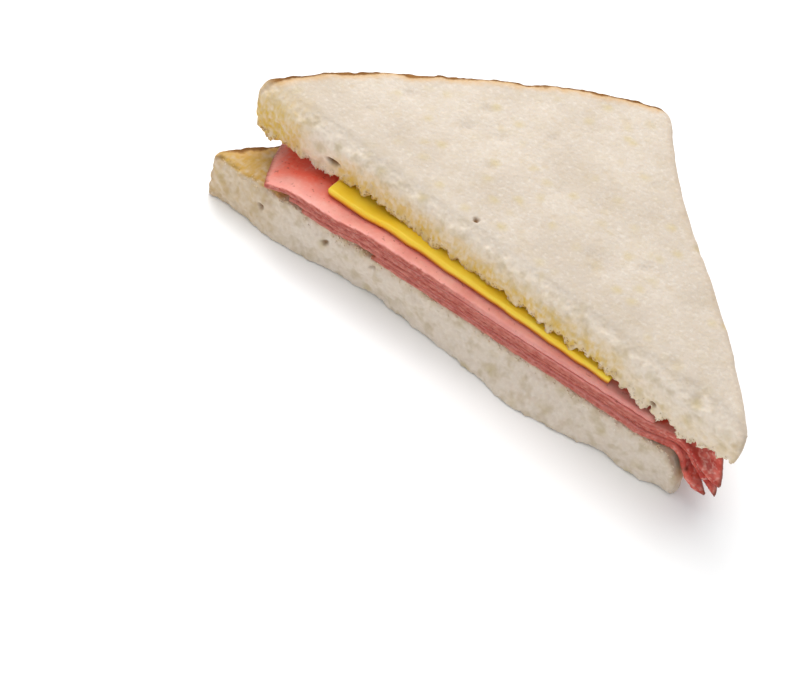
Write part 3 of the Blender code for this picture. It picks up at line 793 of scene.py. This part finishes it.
def fleck_tree():
    """Small rough lumps on a surface, as many in each place as its flecks attribute says."""
    tree = bpy.data.node_groups.new("crumb_flecks", "GeometryNodeTree")
    for name, kind in (
        ("Surface", "NodeSocketGeometry"),
        ("Density", "NodeSocketFloat"),
        ("Least", "NodeSocketFloat"),
        ("Most", "NodeSocketFloat"),
        ("Seed", "NodeSocketInt"),
        ("Material", "NodeSocketMaterial"),
    ):
        tree.interface.new_socket(name, in_out="INPUT", socket_type=kind)
    tree.interface.new_socket("Flecks", in_out="OUTPUT", socket_type="NodeSocketGeometry")
    given = tree.nodes.new("NodeGroupInput").outputs
    share = add_node(tree, "GeometryNodeInputNamedAttribute", {"Name": "flecks"})
    density = add_node(
        tree, "ShaderNodeMath", {0: given["Density"], 1: share}, operation="MULTIPLY"
    )
    points = add_node(
        tree,
        "GeometryNodeDistributePointsOnFaces",
        {"Mesh": given["Surface"], "Density": density, "Seed": given["Seed"]},
        "Points",
    )

    # Each lump is turned at random. It is thin one way, and of random size the other two
    turn = add_node(
        tree,
        "FunctionNodeRandomValue",
        {0: (0.0, 0.0, 0.0), 1: (FLECK_TURN,) * 3, "Seed": given["Seed"]},
        0,
        data_type="FLOAT_VECTOR",
    )
    least = add_node(
        tree,
        "ShaderNodeCombineXYZ",
        {"X": given["Least"], "Y": given["Least"], "Z": given["Least"]},
    )
    most = add_node(
        tree, "ShaderNodeCombineXYZ", {"X": given["Most"], "Y": given["Least"], "Z": given["Most"]}
    )
    size = add_node(
        tree,
        "FunctionNodeRandomValue",
        {0: least, 1: most, "Seed": given["Seed"]},
        0,
        data_type="FLOAT_VECTOR",
    )
    lump = add_node(tree, "GeometryNodeMeshIcoSphere", {"Radius": 1.0, "Subdivisions": 2}, "Mesh")
    placed = add_node(
        tree,
        "GeometryNodeInstanceOnPoints",
        {"Points": points, "Instance": lump, "Rotation": turn, "Scale": size},
    )
    real = add_node(tree, "GeometryNodeRealizeInstances", {"Geometry": placed})

    # Every vertex is pushed out of place, so that the lumps are rough
    rough = add_node(tree, "ShaderNodeTexNoise", {"Scale": 1.0 / FLECK_GRAIN}, "Color")
    middle = add_node(
        tree, "ShaderNodeVectorMath", {0: rough, 1: (0.5, 0.5, 0.5)}, operation="SUBTRACT"
    )
    push = add_node(
        tree, "ShaderNodeVectorMath", {0: middle, "Scale": FLECK_ROUGHNESS}, operation="SCALE"
    )
    torn = add_node(tree, "GeometryNodeSetPosition", {"Geometry": real, "Offset": push})
    dressed = add_node(
        tree, "GeometryNodeSetMaterial", {"Geometry": torn, "Material": given["Material"]}
    )
    add_node(tree, "NodeGroupOutput", {"Flecks": dressed})
    return tree


def fleck_material(name):
    """Dry crumb: matt, from near white to tan, each fleck with its own tone."""
    material = bpy.data.materials.new(name)
    material.use_nodes = True
    tree = material.node_tree
    shader = tree.nodes["Principled BSDF"]
    place = add_node(tree, "ShaderNodeTexCoord", {}, "Object")
    tone = add_node(tree, "ShaderNodeTexNoise", {"Vector": place, "Scale": 1.0 / (1.8 * MM)})
    tone = add_node(tree, "ShaderNodeMapRange", {0: tone, 1: 0.35, 2: 0.65})
    colour = add_node(
        tree,
        "ShaderNodeMix",
        {0: tone, 6: linear("#e9ddd0"), 7: linear("#dccdb2")},
        2,
        data_type="RGBA",
    )
    stain = add_node(tree, "ShaderNodeAttribute", {}, "Fac", attribute_name="stain")
    stain = add_node(tree, "ShaderNodeMapRange", {0: stain, 4: 0.8})
    colour = add_node(
        tree, "ShaderNodeMix", {0: stain, 6: colour, 7: linear("#c79a3c")}, 2, data_type="RGBA"
    )
    tree.links.new(colour, shader.inputs["Base Color"])
    shader.inputs["Roughness"].default_value = 0.95
    shader.inputs["Specular IOR Level"].default_value = 0.12
    return material


def scatter_flecks(name, surface, seed, material):
    """Scatters crumb flecks over a finished slice, and makes them one plain mesh."""
    flecks = bpy.data.objects.new(name, surface.data.copy())
    bpy.context.scene.collection.objects.link(flecks)
    tree = bpy.data.node_groups.get("crumb_flecks") or fleck_tree()
    modifier = flecks.modifiers.new("flecks", "NODES")
    modifier.node_group = tree
    given = {"Density": FLECKS_PER_M2, "Least": FLECK_LEAST, "Most": FLECK_MOST, "Seed": seed}
    for item in tree.interface.items_tree:
        if item.name in given:
            modifier[item.identifier] = given[item.name]
        if item.name == "Material":
            modifier[item.identifier] = material
    freeze(flecks)
    flecks.data.shade_smooth()
    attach(flecks, "root")


dry_crumb = fleck_material("dry_bread_crumb")
scatter_flecks("crumb_flecks_bottom", bottom_bread, FLECK_SEED, dry_crumb)
scatter_flecks("crumb_flecks_top", top_bread, FLECK_SEED + 1, dry_crumb)

# Table and studio: a white board under one broad soft lamp high above, a little to the back
# left, and a smaller lamp lower at the back left, with white walls that fill the shadows.
TABLE_HALF = 1.5
# The board lies a hair lower than the bread, so that the two never share a face
TABLE_GAP = 0.05 * MM
KEY_STRENGTH = 1.18
KEY_SOFTNESS = math.radians(50.0)
KEY_TILT = math.radians(-16.0)
KEY_AZIMUTH = math.radians(35.0)
KEY_COLOUR = (1.0, 0.975, 0.94)
BACK_POWER = 1.25
BACK_SIZE = 0.28
BACK_PLACE = Vector((-0.28, 0.18, 0.38))
WALL_STRENGTH = 0.69
WALL_COLOUR = (0.95, 0.975, 1.0, 1.0)

board = bpy.data.materials.new("white_painted_board")
board.use_nodes = True
board_shader = board.node_tree.nodes["Principled BSDF"]
board_shader.inputs["Base Color"].default_value = linear("#fcfcfc")
board_shader.inputs["Roughness"].default_value = 0.7

bpy.ops.mesh.primitive_grid_add(x_subdivisions=2, y_subdivisions=2, size=2.0 * TABLE_HALF)
table = bpy.context.object
table.name = "table"
table.data.transform(Matrix.Translation((0.0, 0.0, -TABLE_GAP)))
table.data.materials.append(board)

key = bpy.data.objects.new("key_lamp", bpy.data.lights.new("key_lamp", "SUN"))
key.data.energy = KEY_STRENGTH
key.data.angle = KEY_SOFTNESS
key.data.color = KEY_COLOUR
key.rotation_euler = (KEY_TILT, 0.0, KEY_AZIMUTH)
bpy.context.scene.collection.objects.link(key)

back = bpy.data.objects.new("back_lamp", bpy.data.lights.new("back_lamp", "AREA"))
back.data.energy = BACK_POWER
back.data.size = BACK_SIZE
back.location = BACK_PLACE
back.rotation_euler = BACK_PLACE.to_track_quat("Z", "Y").to_euler()
bpy.context.scene.collection.objects.link(back)

walls = bpy.data.worlds.new("white_walls")
walls.use_nodes = True
wall_light = walls.node_tree.nodes["Background"]
wall_light.inputs["Color"].default_value = WALL_COLOUR
wall_light.inputs["Strength"].default_value = WALL_STRENGTH
bpy.context.scene.world = walls
bpy.context.scene.view_settings.view_transform = "Standard"

# Camera: an 85 mm lens that looks down on the cut from the front right, rolled so that the
# sandwich slants across the picture as in the photograph.
LENS_MM = 85.0
SENSOR_MM = 36.0
AIM = Vector((-0.00266, -0.05923, 0.0176))
DISTANCE = 0.452
AZIMUTH = math.radians(27.76)
ELEVATION = math.radians(48.66)
ROLL = math.radians(15.75)

camera = bpy.data.objects.new("camera", bpy.data.cameras.new("camera"))
camera.data.lens = LENS_MM
camera.data.sensor_width = SENSOR_MM
camera.data.clip_start = 0.01
camera.matrix_world = (
    Matrix.Translation(AIM)
    @ Matrix.Rotation(AZIMUTH, 4, "Z")
    @ Matrix.Rotation(math.radians(90.0) - ELEVATION, 4, "X")
    @ Matrix.Rotation(ROLL, 4, "Z")
    @ Matrix.Translation((0.0, 0.0, DISTANCE))
)
bpy.context.scene.collection.objects.link(camera)
bpy.context.scene.camera = camera
